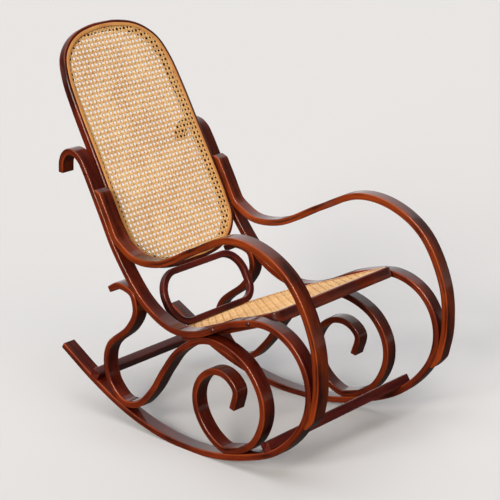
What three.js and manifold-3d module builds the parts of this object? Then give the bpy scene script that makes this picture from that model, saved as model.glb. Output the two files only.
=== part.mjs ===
import * as THREE from 'three';
import { mergeGeometries, mergeVertices } from 'three/addons/utils/BufferGeometryUtils.js';
import Module from 'manifold-3d';

// Bentwood rocking chair with a caned seat and a caned back, in millimetres.
// +Z is up, the sitter faces -Y and X = 0 is the mirror plane.
// Each side is a flat frame of three bent strips. The two frames stand closer together at the rear.

// Side frames
const frameDepth = 860;
const frameHeight = 690;
const frameSpacing = 448;
const toeAngle = 3.31;
const flareAngle = 1.11;
const memberWidth = 38;
const railThickness = 16.5;
const armThickness = 17;
const scrollThickness = 16.5;
const memberChamfer = 3;

// The rocker's step on the floor at rest, planed level where the flared frame meets the floor
const restStep = 90;
const restPlane = 0.1;

// Armrest ends
const armTopTaper = 14;
const armTopTip = 5;
const armFootTaper = 34;
const armFootTip = 5;

// Back hoop; its width is the space between the posts
const hoopHeight = 646;
const hoopRailWidth = 25;
const hoopRailDepth = 22;
const hoopChamfer = 4;
const hoopProud = 5.7;

// Lumbar ring between the hoop and the seat
const ringWidth = 316;
const ringHeight = 146;
const ringThickness = 16.5;
const ringDepth = 17.5;
const ringForward = 9;
const ringChamfer = 3;
const ringTopCorner = 70;
const ringRightFootCorner = 68;
const ringLeftFootCorner = 52;

// Seat ring
const seatTilt = 22;
const seatBoltCover = 7.17;
const seatDepth = 414;
const seatOverhang = 14;
const seatRailWidth = 34;
const seatRailHeight = 28;
const seatChamfer = 4;
const seatFrontCorner = 20;
const seatRearCorner = 140;

// Cane panels and the bands that hold their edges
const rimWidth = 8;
const bandWidth = 9;
const bandThickness = 1.4;
const caneThickness = 1.6;
const netMargin = 6;
const netPitch = 33;
const netHole = 22;

// Stretchers across the rockers
const stretcherSize = 24;
const stretcherChamfer = 3;
const stretcherLetIn = 1.5;

// Wood screws, sunk flush into the strips
const screwRadius = 2.1;
const screwHeadRadius = 4.2;
const screwHeadHeight = 2.6;
const screwDome = 0.6;
const screwBite = 10;
const screwSink = 0.8;

// Seat bolts with domed heads
const boltRadius = 3;
const boltHeadRadius = 6.5;
const boltHeadHeight = 3.5;
const boltBite = 18;

// Fits
const clearance = 0.3;
const hoopLetIn = 0.24;
const cutOverrun = 8;
const weldDistance = 0.003;

// Resolution of the curves
const turnStep = 14;
const longestStep = 150;
const fineSteps = 40;
const roundSides = 8;

// Centre line of the one long strip: rocker tail, low point, leg bow, seat rail, post and top hook.
// Each pair is [share of frameDepth, share of frameHeight].
const railShares = [
  [0.5279, 0.2290], [0.3965, 0.1348], [0.2581, 0.0594], [0.1105, 0.0170], [-0.0407, 0.0123],
  [-0.1884, 0.0493], [-0.3267, 0.1246], [-0.4163, 0.2507], [-0.4372, 0.3594], [-0.4163, 0.4551],
  [-0.3663, 0.5217], [-0.2860, 0.5551], [-0.1674, 0.5246], [-0.0291, 0.4464], [0.0663, 0.4333],
  [0.1744, 0.4942], [0.2814, 0.6507], [0.3419, 0.7906], [0.4023, 0.9304], [0.4174, 0.9580],
  [0.4395, 0.9768], [0.4651, 0.9797], [0.4849, 0.9652], [0.4965, 0.9391], [0.5000, 0.8971],
];
const postFootShares = [0.2814, 0.6507];
const postHeadShares = [0.4023, 0.9304];

// Middle of the rail's lap on the seat
const seatRestShares = [-0.1625, 0.5175];

// Where the stretchers lie on the right and the left rocker. The front one lies a little askew.
const frontStretcherShares = [[-0.2953, 0.1038], [-0.3324, 0.1312]];
const rearStretcherShares = [[0.4016, 0.1294], [0.4016, 0.1294]];

// Centre line of the armrest between its two laps on the rail
const armTopLapShares = [[0.3488, 0.8710], [0.2820, 0.7130]];
const armShares = [
  [0.2600, 0.6810], [0.2070, 0.6493], [0.1116, 0.6580], [-0.0244, 0.7406], [-0.1628, 0.8145],
  [-0.2767, 0.7986], [-0.3791, 0.7174], [-0.4500, 0.5507], [-0.4640, 0.4000],
];
const armFootLapShares = [[-0.4570, 0.3110], [-0.4405, 0.2310]];

// Centre line of the scroll brace, from the tip of its spiral to its free curl.
// A true third entry marks a point where the scroll is laid against the rail.
const scrollShares = [
  [-0.1616, 0.2174], [-0.1744, 0.2841], [-0.1570, 0.3145], [-0.1256, 0.3333], [-0.0860, 0.3290],
  [-0.0442, 0.2913], [-0.0209, 0.2304], [-0.0267, 0.1609], [-0.0674, 0.0913],
  [-0.1260, 0.0600, true], [-0.1791, 0.0696], [-0.2372, 0.1203], [-0.2721, 0.2145],
  [-0.2651, 0.3014], [-0.2174, 0.3841], [-0.1314, 0.4319], [-0.0500, 0.4300, true],
  [0.0430, 0.3594], [0.1023, 0.2681], [0.1535, 0.1739], [0.2140, 0.1029],
  [0.2700, 0.0900, true], [0.2977, 0.1087], [0.3302, 0.1565], [0.3407, 0.2319], [0.3233, 0.2957],
  [0.2442, 0.3797], [0.2128, 0.4420], [0.2116, 0.4812], [0.2256, 0.5130, true], [0.2535, 0.5319],
  [0.2826, 0.5319], [0.3140, 0.5101],
];

// Places of the fasteners along the joints
const armTopScrewShares = [0.30, 0.85];
const armFootScrewShares = [0.05, 0.38];
const seatBoltShares = [0.1055, 0.4066];
const hoopScrewShares = [0.40, 0.95];
const ringTopScrewShare = 0.24;
const ringFootScrewShare = 0.42;

// Right half of the hoop's outer edge: [share of half the width, share of the height]
const hoopShares = [
  [0, 0], [0.2205, 0], [0.5487, 0.0156], [0.7692, 0.0498], [0.8974, 0.0888], [0.9641, 0.1262],
  [0.9897, 0.1931], [1, 0.2710], [0.9900, 0.5031], [0.9800, 0.6900], [0.9487, 0.8069],
  [0.8615, 0.8910], [0.7026, 0.9439], [0.5026, 0.9770], [0.2400, 0.9950], [0, 1],
];

const wasm = await Module();
wasm.setup();

function wood(colour) {
  return new THREE.MeshStandardMaterial({ color: colour, roughness: 0.32, metalness: 0 });
}

const stainedBeech = wood(0x6b2412);
const darkBeech = wood(0x4e170e);
const cane = new THREE.MeshStandardMaterial({ color: 0xdcc088, roughness: 0.6, metalness: 0 });
const band = new THREE.MeshStandardMaterial({ color: 0xc8924a, roughness: 0.55, metalness: 0 });
const brass = new THREE.MeshStandardMaterial({ color: 0xb08a4a, roughness: 0.35, metalness: 1 });

// Places in a side frame's flat plane, X across the strip
function inFrame([depthShare, heightShare]) {
  return new THREE.Vector3(0, depthShare * frameDepth, heightShare * frameHeight);
}

// Samples a smooth curve so that each step turns, or runs, about as far as the next.
function trace(points, closed = false) {
  const curve = new THREE.CatmullRomCurve3(points, closed, 'centripetal');
  const count = points.length * fineSteps;
  const fine = [];
  let measure = 0;
  let length = 0;
  for (let i = 0; i <= count; i += 1) {
    const point = curve.getPoint(i / count);
    const tangent = curve.getTangent(i / count);
    if (i > 0) {
      const last = fine[i - 1];
      const run = point.distanceTo(last.point);
      const turn = THREE.MathUtils.radToDeg(tangent.angleTo(last.tangent));
      measure += turn / turnStep + run / longestStep;
      length += run;
    }
    fine.push({ point, tangent, measure, length });
  }
  const steps = Math.ceil(measure);
  const samples = [];
  let index = 0;
  for (let step = 0; step < steps + (closed ? 0 : 1); step += 1) {
    const wanted = (measure * step) / steps;
    while (index < count && fine[index].measure < wanted) {
      index += 1;
    }
    samples.push(fine[index]);
  }
  return { fine, samples, length };
}

// The place on a traced centre line that lies nearest to a point
function nearest(path, point) {
  let best = path.fine[0];
  for (const candidate of path.fine) {
    if (candidate.point.distanceTo(point) < best.point.distanceTo(point)) {
      best = candidate;
    }
  }
  return best;
}

// Moves a point of one strip's centre line so that the strip lies against its neighbour.
function laidAgainst(path, point, spacing) {
  const foot = nearest(path, point).point;
  const away = point.clone().sub(foot).normalize();
  return foot.clone().addScaledVector(away, spacing);
}

// Outline of straight edges and round corners, counter-clockwise, with its tangents
function roundedOutline(corners, radii) {
  const samples = [];
  corners.forEach((corner, i) => {
    const before = corners[(i + corners.length - 1) % corners.length];
    const after = corners[(i + 1) % corners.length];
    const arriving = corner.clone().sub(before).normalize();
    const leaving = after.clone().sub(corner).normalize();
    const turn = arriving.angleTo(leaving);
    const setBack = radii[i] * Math.tan(turn / 2);
    const start = corner.clone().addScaledVector(arriving, -setBack);
    const axis = arriving.clone().cross(leaving).normalize();
    const centre = start.clone().addScaledVector(axis.clone().cross(arriving), radii[i]);
    const steps = Math.ceil(THREE.MathUtils.radToDeg(turn) / turnStep);
    for (let step = 0; step <= steps; step += 1) {
      const angle = (turn * step) / steps;
      const spoke = start.clone().sub(centre).applyAxisAngle(axis, angle);
      const tangent = arriving.clone().applyAxisAngle(axis, angle);
      samples.push({ point: centre.clone().add(spoke), tangent });
    }
  });
  return samples;
}

// Six times the signed volume under a triangle list
function signedVolume(positions, indices) {
  const a = new THREE.Vector3();
  const b = new THREE.Vector3();
  const c = new THREE.Vector3();
  let volume = 0;
  for (let i = 0; i < indices.length; i += 3) {
    a.fromArray(positions, indices[i] * 3);
    b.fromArray(positions, indices[i + 1] * 3);
    c.fromArray(positions, indices[i + 2] * 3);
    volume += a.dot(b.cross(c));
  }
  return volume;
}

function closedGeometry(positions, indices) {
  const facing = signedVolume(positions, indices) < 0 ? indices.slice().reverse() : indices;
  const geometry = new THREE.BufferGeometry();
  geometry.setAttribute('position', new THREE.Float32BufferAttribute(positions, 3));
  geometry.setIndex(facing);
  return geometry;
}

// Carries a section along samples. The section is listed as [across, along the lateral axis];
// it may be a function of the length run. Across is measured along tangent x lateral.
function sweep(samples, lateral, section, closed = false) {
  const positions = [];
  const indices = [];
  let sides = 0;
  for (const sample of samples) {
    const across = sample.tangent.clone().cross(lateral).normalize();
    const corners = typeof section === 'function' ? section(sample.length) : section;
    sides = corners.length;
    for (const [out, along] of corners) {
      const vertex = sample.point.clone().addScaledVector(across, out);
      vertex.addScaledVector(lateral, along);
      positions.push(vertex.x, vertex.y, vertex.z);
    }
  }
  const rings = samples.length;
  for (let ring = 0; ring < (closed ? rings : rings - 1); ring += 1) {
    const next = (ring + 1) % rings;
    for (let side = 0; side < sides; side += 1) {
      const other = (side + 1) % sides;
      const a = ring * sides + side;
      const b = ring * sides + other;
      const c = next * sides + other;
      const d = next * sides + side;
      indices.push(a, b, c, a, c, d);
    }
  }
  if (!closed) {
    const end = (rings - 1) * sides;
    for (let side = 1; side < sides - 1; side += 1) {
      indices.push(0, side + 1, side);
      indices.push(end, end + side, end + side + 1);
    }
  }
  return closedGeometry(positions, indices);
}

// Rectangle with its corners taken off, from [minAcross, minAlong] to [maxAcross, maxAlong]
function chamferedSection(minAcross, maxAcross, minAlong, maxAlong, chamfer) {
  if (chamfer === 0) {
    return [
      [minAcross, minAlong], [maxAcross, minAlong],
      [maxAcross, maxAlong], [minAcross, maxAlong],
    ];
  }
  return [
    [minAcross + chamfer, minAlong], [maxAcross - chamfer, minAlong],
    [maxAcross, minAlong + chamfer], [maxAcross, maxAlong - chamfer],
    [maxAcross - chamfer, maxAlong], [minAcross + chamfer, maxAlong],
    [minAcross, maxAlong - chamfer], [minAcross, minAlong + chamfer],
  ];
}

function stripSection(thickness, grow = 0) {
  const half = thickness / 2 + grow;
  const side = memberWidth / 2;
  if (grow > 0) {
    return chamferedSection(-half, half, -side - cutOverrun, side + cutOverrun, 0);
  }
  return chamferedSection(-half, half, -side, side, memberChamfer);
}

function toSolid(geometry) {
  const bare = geometry.clone();
  bare.deleteAttribute('normal');
  bare.deleteAttribute('uv');
  const merged = mergeVertices(bare);
  const vertProperties = new Float32Array(merged.attributes.position.array);
  const triVerts = new Uint32Array(merged.index.array);
  return new wasm.Manifold(new wasm.Mesh({ numProp: 3, vertProperties, triVerts }));
}

function toGeometry(solid) {
  const mesh = solid.getMesh();
  const geometry = new THREE.BufferGeometry();
  geometry.setAttribute('position', new THREE.Float32BufferAttribute(mesh.vertProperties, 3));
  geometry.setIndex(Array.from(mesh.triVerts));
  return geometry;
}

// Takes each cutter away from a geometry.
function cut(geometry, cutters) {
  let solid = toSolid(geometry);
  for (const cutter of cutters) {
    solid = solid.subtract(toSolid(cutter));
  }
  return toGeometry(solid);
}

// Turned fastener with its axis on +Y: the head's rim at zero, the shank below it.
// A sunk head is a cone below the rim; a raised head is a dome above it.
function fastener(size, grow = 0) {
  const shank = size.radius + grow;
  const head = size.headRadius + grow;
  const foot = -size.length - grow;
  const profile = [[0, foot], [shank, foot + (grow > 0 ? 0 : shank / 2)]];
  if (size.sunk) {
    profile.push([shank, -size.headHeight - grow], [head, -grow]);
    if (grow > 0) {
      profile.push([head, cutOverrun], [0, cutOverrun]);
    } else {
      profile.push([0, size.dome]);
    }
  } else {
    profile.push([shank, clearance]);
    if (grow > 0) {
      profile.push([shank, cutOverrun], [0, cutOverrun]);
    } else {
      const shoulder = head * Math.cos(Math.PI / 4);
      profile.push([head, clearance], [shoulder, size.headHeight]);
      profile.push([0, size.headHeight + clearance]);
    }
  }
  if (grow > 0) {
    profile[1] = [shank, foot];
  }
  const points = profile.map(([radius, height]) => new THREE.Vector2(radius, height));
  const lathe = new THREE.LatheGeometry(points, roundSides);
  lathe.deleteAttribute('uv');
  lathe.deleteAttribute('normal');
  const merged = mergeVertices(lathe, weldDistance);
  return closedGeometry(Array.from(merged.attributes.position.array), solidTriangles(merged));
}

// Triangles that keep three different corners
function solidTriangles(geometry) {
  const kept = [];
  const list = geometry.index.array;
  for (let i = 0; i < list.length; i += 3) {
    const [a, b, c] = [list[i], list[i + 1], list[i + 2]];
    if (a !== b && b !== c && a !== c) {
      kept.push(a, b, c);
    }
  }
  return kept;
}

// Turns a fastener so that it is driven along a direction from a point, and moves it there.
function driven(geometry, start, direction) {
  const turn = new THREE.Quaternion();
  turn.setFromUnitVectors(new THREE.Vector3(0, -1, 0), direction.clone().normalize());
  const placed = geometry.clone().applyQuaternion(turn);
  return placed.translate(start.x, start.y, start.z);
}

function screwSize(throughThickness) {
  return {
    radius: screwRadius,
    headRadius: screwHeadRadius,
    headHeight: screwHeadHeight,
    dome: screwDome,
    length: throughThickness + clearance + screwBite,
    sunk: true,
  };
}

const chair = new THREE.Group();

function addPiece(group, name, geometry, material) {
  geometry.computeVertexNormals();
  const mesh = new THREE.Mesh(geometry, material);
  mesh.name = name;
  group.add(mesh);
  return mesh;
}

// Centre lines in the frame's plane, the same for both sides
const railPath = trace(railShares.map(inFrame));
const armSpacing = (railThickness + armThickness) / 2 + clearance;
const scrollSpacing = (railThickness + scrollThickness) / 2 + clearance;
const onRail = (spacing) => (share) => laidAgainst(railPath, inFrame(share), spacing);
const armTopLap = armTopLapShares.map(onRail(armSpacing));
const armFootLap = armFootLapShares.map(onRail(armSpacing));
const armPath = trace([...armTopLap, ...armShares.map(inFrame), ...armFootLap]);
const scrollPoints = scrollShares.map((share) => (
  share[2] ? onRail(scrollSpacing)(share) : inFrame(share)
));
const scrollContacts = scrollPoints.filter((point, i) => scrollShares[i][2]);
const scrollPath = trace(scrollPoints);

// The armrest thins towards both ends on the side away from the rail.
function armSection(length) {
  const fromTop = Math.min(1, length / armTopTaper);
  const fromFoot = Math.min(1, (armPath.length - length) / armFootTaper);
  const half = armThickness / 2;
  const atTop = armTopTip + (armThickness - armTopTip) * fromTop;
  const atFoot = armFootTip + (armThickness - armFootTip) * fromFoot;
  const outer = Math.min(atTop, atFoot) - half;
  const chamfer = Math.min(memberChamfer, armTopTip / 2, armFootTip / 2);
  const side = memberWidth / 2;
  return chamferedSection(-half, outer, -side, side, chamfer);
}

// Adds a sample where the taper starts, so that the strip is full up to there.
function withStations(path, lengths) {
  const samples = [...path.samples];
  for (const length of lengths) {
    const station = path.fine.find((sample) => sample.length >= length);
    samples.push(station);
  }
  samples.sort((a, b) => a.length - b.length);
  return samples.filter((sample, i) => (
    i === 0 || sample.length - samples[i - 1].length > memberChamfer
  ));
}

// Puts one straight step, with the given ends, in place of the samples around it.
function withStep(path, ends) {
  const guard = memberWidth / 2;
  const outside = path.samples.filter(({ length }) => (
    length < ends[0].length - guard || length > ends[1].length + guard
  ));
  return [...outside, ...ends].sort((a, b) => a.length - b.length);
}

const lateral = new THREE.Vector3(1, 0, 0);
const lowest = railPath.fine.reduce((low, sample) => (sample.point.z < low.point.z ? sample : low));
const stepEnds = [-restStep / 2, restStep / 2].map((offset) => (
  railPath.fine.find(({ length }) => length >= lowest.length + offset)
));
railPath.samples = withStep(railPath, stepEnds);
const railCutter = sweep(railPath.samples, lateral, stripSection(railThickness, clearance));
const flare = THREE.MathUtils.degToRad(flareAngle);
const toe = THREE.MathUtils.degToRad(toeAngle);
const lift = (memberWidth / 2) * Math.sin(flare);

// The hoop fills the space between the middles of the posts, let in a little.
const postFoot = nearest(railPath, inFrame(postFootShares));
const postHead = nearest(railPath, inFrame(postHeadShares));
const postMiddle = postFoot.point.clone().lerp(postHead.point, 1 / 2);
const toeOffset = postMiddle.y * Math.tan(toe) - postMiddle.z * Math.tan(flare);
const hoopWidth = frameSpacing - memberWidth - 2 * (toeOffset + clearance - hoopLetIn);

function sideGroup(side) {
  const group = new THREE.Group();
  group.rotation.order = 'ZYX';
  group.rotation.set(0, side * flare, side * toe);
  group.position.set((side * frameSpacing) / 2, 0, lift);
  group.updateMatrixWorld(true);
  return group;
}

const sides = [
  { name: 'right', side: -1, group: sideGroup(-1) },
  { name: 'left', side: 1, group: sideGroup(1) },
];

// The hoop stands between the posts, a little proud of their front faces.
const postRun = postHead.point.clone().sub(postFoot.point);
const postUp = postRun.clone().normalize();
const postFront = postUp.clone().cross(lateral).negate();
const leftSide = sides[1];

function frontEdge(point) {
  const edge = point.clone().addScaledVector(postFront, railThickness / 2);
  return edge.applyMatrix4(leftSide.group.matrixWorld);
}

const lowEdge = frontEdge(postFoot.point);
const highEdge = frontEdge(postHead.point);
const backLean = Math.atan2(highEdge.y - lowEdge.y, highEdge.z - lowEdge.z);
const backUp = new THREE.Vector3(0, Math.sin(backLean), Math.cos(backLean));
const backRear = new THREE.Vector3(0, Math.cos(backLean), -Math.sin(backLean));
const backFoot = new THREE.Vector3(0, lowEdge.y, lowEdge.z).addScaledVector(backRear, -hoopProud);

// The seat lies on the rails, the lumbar ring stands on the seat and the hoop stands on the ring.
const tilt = THREE.MathUtils.degToRad(seatTilt);
const seatNormal = new THREE.Vector3(0, Math.sin(tilt), Math.cos(tilt));
const seatFront = seatOverhang - seatDepth;
const seatRear = seatOverhang;
const seatGroup = new THREE.Group();
seatGroup.rotation.x = -tilt;

// Slides the seat along the back's plane until its top passes through a place.
function raiseSeatTo(place) {
  const up = place.clone().sub(backFoot).dot(seatNormal) / backUp.dot(seatNormal);
  seatGroup.position.copy(backFoot).addScaledVector(backUp, up);
  seatGroup.updateMatrixWorld(true);
}

// The place on the rail beside a share of the seat's depth, taken from its front
function railBeside(share) {
  const place = new THREE.Vector3(0, seatFront + share * seatDepth, 0);
  place.applyMatrix4(seatGroup.matrixWorld);
  place.applyMatrix4(leftSide.group.matrixWorld.clone().invert()).setX(0);
  return nearest(railPath, place).point.clone();
}

// Its top then covers the higher of its bolts by a fixed amount.
const onLeftSide = (point) => point.clone().applyMatrix4(leftSide.group.matrixWorld);
raiseSeatTo(onLeftSide(nearest(railPath, inFrame(seatRestShares)).point));
const seatBoltPlaces = seatBoltShares.map(railBeside);
const boltHeights = seatBoltPlaces.map((point) => onLeftSide(point).dot(seatNormal));
const highestBolt = seatBoltPlaces[boltHeights.indexOf(Math.max(...boltHeights))];
raiseSeatTo(onLeftSide(highestBolt).addScaledVector(seatNormal, seatBoltCover));

const backGroup = new THREE.Group();
backGroup.rotation.x = -backLean;
backGroup.position.copy(seatGroup.position).addScaledVector(backUp, ringHeight);
backGroup.updateMatrixWorld(true);

// Half the space between the inner faces of the side frames at a place in the seat's plane
function seatHalfWidth(y) {
  const place = new THREE.Vector3(0, y, -seatRailHeight / 2).applyMatrix4(seatGroup.matrixWorld);
  const face = new THREE.Vector3(-memberWidth / 2, 0, 0).applyMatrix4(leftSide.group.matrixWorld);
  const normal = new THREE.Vector3(1, 0, 0).transformDirection(leftSide.group.matrixWorld);
  const across = normal.y * (place.y - face.y) + normal.z * (place.z - face.z);
  return face.x - across / normal.x - clearance;
}

// Edge treatment that the hoop and the seat share: a rebate holds the cane and its band.
const rebateDepth = caneThickness + bandThickness + 2 * clearance;
const rebateInset = rimWidth;

function canedSection(railWidth, depth, chamfer) {
  return [
    [0, chamfer], [chamfer, 0], [rebateInset, 0], [rebateInset, rebateDepth], [railWidth, rebateDepth],
    [railWidth, depth - chamfer], [railWidth - chamfer, depth], [chamfer, depth], [0, depth - chamfer],
  ];
}

function insetPoints(samples, depthAxis, inset) {
  return samples.map(({ point, tangent }) => {
    const across = tangent.clone().cross(depthAxis).normalize();
    return point.clone().addScaledVector(across, inset);
  });
}

// Whether a point lies inside a closed outline
function isInside(outline, x, y) {
  let inside = false;
  for (let i = 0, j = outline.length - 1; i < outline.length; j = i, i += 1) {
    const a = outline[i];
    const b = outline[j];
    if ((a.y > y) !== (b.y > y) && x < ((b.x - a.x) * (y - a.y)) / (b.y - a.y) + a.x) {
      inside = !inside;
    }
  }
  return inside;
}

// Flat net inside an outline: a plate, less one square prism for each gap in its field
function netGeometry(edge, field) {
  const outline = new THREE.Shape(edge);
  const plate = new THREE.ExtrudeGeometry(outline, { depth: caneThickness, bevelEnabled: false });
  const box = new THREE.Box2().setFromPoints(field);
  const middle = box.getCenter(new THREE.Vector2());
  const size = box.getSize(new THREE.Vector2());
  const columns = Math.floor(size.x / netPitch);
  const rows = Math.floor(size.y / netPitch);
  const half = netHole / 2;
  const corners = [[-half, -half], [half, -half], [half, half], [-half, half]];
  const gaps = [];
  for (let row = 0; row < rows; row += 1) {
    for (let column = 0; column < columns; column += 1) {
      const x = middle.x + (column - (columns - 1) / 2) * netPitch;
      const y = middle.y + (row - (rows - 1) / 2) * netPitch;
      if (corners.every(([dx, dy]) => isInside(field, x + dx, y + dy))) {
        const gap = new THREE.BoxGeometry(netHole, netHole, caneThickness + 2 * cutOverrun);
        gaps.push(gap.translate(x, y, caneThickness / 2));
      }
    }
  }
  return cut(plate, [mergeGeometries(gaps)]);
}

// Back hoop with its cane and band, in the back's plane: X across, Z up the back, Y rearward
const hoopPoint = ([widthShare, heightShare]) => (
  new THREE.Vector3((widthShare * hoopWidth) / 2, 0, heightShare * hoopHeight)
);
const rightHalf = hoopShares.map(hoopPoint);
const leftHalf = rightHalf.slice(1, -1).reverse().map((point) => new THREE.Vector3(-point.x, 0, point.z));
const hoopPath = trace([...rightHalf, ...leftHalf], true);
const rearward = new THREE.Vector3(0, 1, 0);
const hoopSection = canedSection(hoopRailWidth, hoopRailDepth, hoopChamfer);
const hoopSolid = sweep(hoopPath.samples, rearward, hoopSection, true);
function bandSection(depthAxisTop) {
  const inner = rebateInset + clearance;
  return chamferedSection(inner, inner + bandWidth, depthAxisTop, depthAxisTop + bandThickness, 0);
}

const flatBack = (point) => new THREE.Vector2(point.x, point.z);
const hoopCaneEdge = insetPoints(hoopPath.samples, rearward, rebateInset + clearance).map(flatBack);
const hoopField = insetPoints(hoopPath.samples, rearward, hoopRailWidth + netMargin).map(flatBack);
const backCane = netGeometry(hoopCaneEdge, hoopField);
backCane.rotateX(Math.PI / 2);
backCane.translate(0, rebateDepth - clearance, 0);
addPiece(backGroup, 'back_cane_panel', backCane, cane);
addPiece(backGroup, 'back_cane_band', sweep(hoopPath.samples, rearward, bandSection(0), true), band);

// Seat ring with its cane and band, in the seat's plane: X across, Y rearward, Z square to the cane
const seatCorners = [
  new THREE.Vector3(-seatHalfWidth(seatFront), seatFront, 0),
  new THREE.Vector3(seatHalfWidth(seatFront), seatFront, 0),
  new THREE.Vector3(seatHalfWidth(seatRear), seatRear, 0),
  new THREE.Vector3(-seatHalfWidth(seatRear), seatRear, 0),
];
const seatRadii = [seatFrontCorner, seatFrontCorner, seatRearCorner, seatRearCorner];
const seatOutline = roundedOutline(seatCorners, seatRadii);
const downward = new THREE.Vector3(0, 0, -1);
const seatSection = canedSection(seatRailWidth, seatRailHeight, seatChamfer);
const seatSolid = sweep(seatOutline, downward, seatSection, true);

// A stretcher lies on both rockers, let in a little. Its end faces are flush with their outer faces.
function stretcher(shares) {
  const seats = shares.map((share) => nearest(railPath, inFrame(share)));
  const ups = seats.map(({ tangent }) => {
    const up = tangent.clone().cross(lateral).normalize();
    return up.z < 0 ? up.negate() : up;
  });
  const barUp = ups[0].clone().add(ups[1]).normalize();
  const height = railThickness / 2 + stretcherSize / 2 - stretcherLetIn;
  const samples = sides.map(({ side, group }, i) => {
    const point = seats[i].point.clone().addScaledVector(ups[i], height);
    point.x = (side * memberWidth) / 2;
    return { point: point.applyMatrix4(group.matrixWorld), tangent: lateral };
  });
  const half = stretcherSize / 2;
  const forward = barUp.clone().cross(lateral);
  const bar = sweep(samples, forward, chamferedSection(-half, half, -half, half, stretcherChamfer));
  return { bar, seats, ups };
}

const stretchers = [
  { name: 'front', ...stretcher(frontStretcherShares) },
  { name: 'rear', ...stretcher(rearStretcherShares) },
];

// Lumbar ring: its top touches the hoop's foot, and its foot is cut level with the seat.
const ringSlope = Math.tan(backLean - tilt);
const ringFoot = -ringHeight - ringForward * ringSlope;
const ringTop = -clearance;
const ringCorners = [
  new THREE.Vector3(-ringWidth / 2, 0, ringFoot),
  new THREE.Vector3(ringWidth / 2, 0, ringFoot),
  new THREE.Vector3(ringWidth / 2, 0, ringTop),
  new THREE.Vector3(-ringWidth / 2, 0, ringTop),
];
const ringRadii = [ringRightFootCorner, ringLeftFootCorner, ringTopCorner, ringTopCorner];
const ringOutline = roundedOutline(ringCorners, ringRadii);
const ringSection = chamferedSection(
  0,
  ringThickness,
  -ringForward,
  ringDepth - ringForward,
  ringChamfer,
);
const ringSolid = sweep(ringOutline, rearward, ringSection, true);
const seatSlab = new THREE.BoxGeometry(hoopWidth, seatDepth, seatRailHeight);
seatSlab.translate(0, 0, clearance - seatRailHeight / 2);
seatSlab.applyMatrix4(seatGroup.matrixWorld);

// Seat net and band
const flatSeat = (point) => new THREE.Vector2(point.x, point.y);
const seatCaneEdge = insetPoints(seatOutline, downward, rebateInset + clearance).map(flatSeat);
const seatField = insetPoints(seatOutline, downward, seatRailWidth + netMargin).map(flatSeat);
const seatCane = netGeometry(seatCaneEdge, seatField);
seatCane.translate(0, 0, clearance - rebateDepth);
const seatBand = sweep(seatOutline, downward, bandSection(0), true);

// Fasteners, each listed with the side or group that it is drawn in
const fasteners = [];

function addFastener(name, group, size, start, direction) {
  const solid = driven(fastener(size), start, direction);
  const cutter = driven(fastener(size, clearance), start, direction);
  cutter.applyMatrix4(group.matrixWorld);
  fasteners.push({ name, group, solid, cutter });
}

// Screw through an outer strip into the rail below it
function screwIntoRail(name, group, place, thickness) {
  const foot = nearest(railPath, place).point;
  const direction = foot.clone().sub(place).normalize();
  const start = place.clone().addScaledVector(direction, screwSink - thickness / 2);
  addFastener(name, group, screwSize(thickness - screwSink), start, direction);
}

sides.forEach(({ name, side, group }, sideIndex) => {
  armTopScrewShares.forEach((share, i) => {
    const place = armTopLap[0].clone().lerp(armTopLap[1], share);
    screwIntoRail(`armrest_top_screw_${name}_${i + 1}`, group, place, armThickness);
  });
  armFootScrewShares.forEach((share, i) => {
    const place = armFootLap[0].clone().lerp(armFootLap[1], share);
    screwIntoRail(`armrest_foot_screw_${name}_${i + 1}`, group, place, armThickness);
  });
  scrollContacts.forEach((place, i) => {
    screwIntoRail(`scroll_screw_${name}_${i + 1}`, group, place, scrollThickness);
  });
  seatBoltPlaces.forEach((place, i) => {
    const start = place.clone();
    start.x = (side * memberWidth) / 2;
    const size = {
      radius: boltRadius,
      headRadius: boltHeadRadius,
      headHeight: boltHeadHeight,
      length: memberWidth + clearance + boltBite,
      sunk: false,
    };
    addFastener(`seat_bolt_${name}_${i + 1}`, group, size, start, new THREE.Vector3(-side, 0, 0));
  });
  hoopScrewShares.forEach((share, i) => {
    const wanted = postFoot.point.clone().lerp(postHead.point, share);
    const start = nearest(railPath, wanted).point.clone();
    start.x = side * (memberWidth / 2 - screwSink);
    const inward = new THREE.Vector3(-side, 0, 0);
    addFastener(`hoop_screw_${name}_${i + 1}`, group, screwSize(memberWidth), start, inward);
  });
  for (const { name: place, seats, ups } of stretchers) {
    const up = ups[sideIndex];
    const start = seats[sideIndex].point.clone().addScaledVector(up, screwSink - railThickness / 2);
    addFastener(`stretcher_screw_${place}_${name}`, group, screwSize(railThickness), start, up);
  }
  const topStart = new THREE.Vector3(
    (side * ringTopScrewShare * ringWidth) / 2,
    (hoopChamfer + ringDepth - ringForward) / 2,
    ringTop - ringThickness + screwSink,
  );
  const upward = new THREE.Vector3(0, 0, 1);
  addFastener(`ring_top_screw_${name}`, backGroup, screwSize(ringThickness), topStart, upward);
  const footStart = new THREE.Vector3(
    (side * ringFootScrewShare * ringWidth) / 2,
    ringDepth / 2 - ringForward,
    ringFoot + ringThickness - screwSink,
  );
  const footSize = screwSize(ringThickness + rebateDepth);
  addFastener(`ring_foot_screw_${name}`, backGroup, footSize, footStart, upward.clone().negate());
});

// Cutters drawn in the world, brought into the plane of one group
function cuttersFor(group, names) {
  const inverse = group.matrixWorld.clone().invert();
  return fasteners
    .filter(({ name }) => names.some((part) => name.includes(part)))
    .map(({ cutter }) => cutter.clone().applyMatrix4(inverse));
}

function brought(geometry, from, to) {
  const matrix = to.matrixWorld.clone().invert().multiply(from.matrixWorld);
  return geometry.clone().applyMatrix4(matrix);
}

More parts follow.
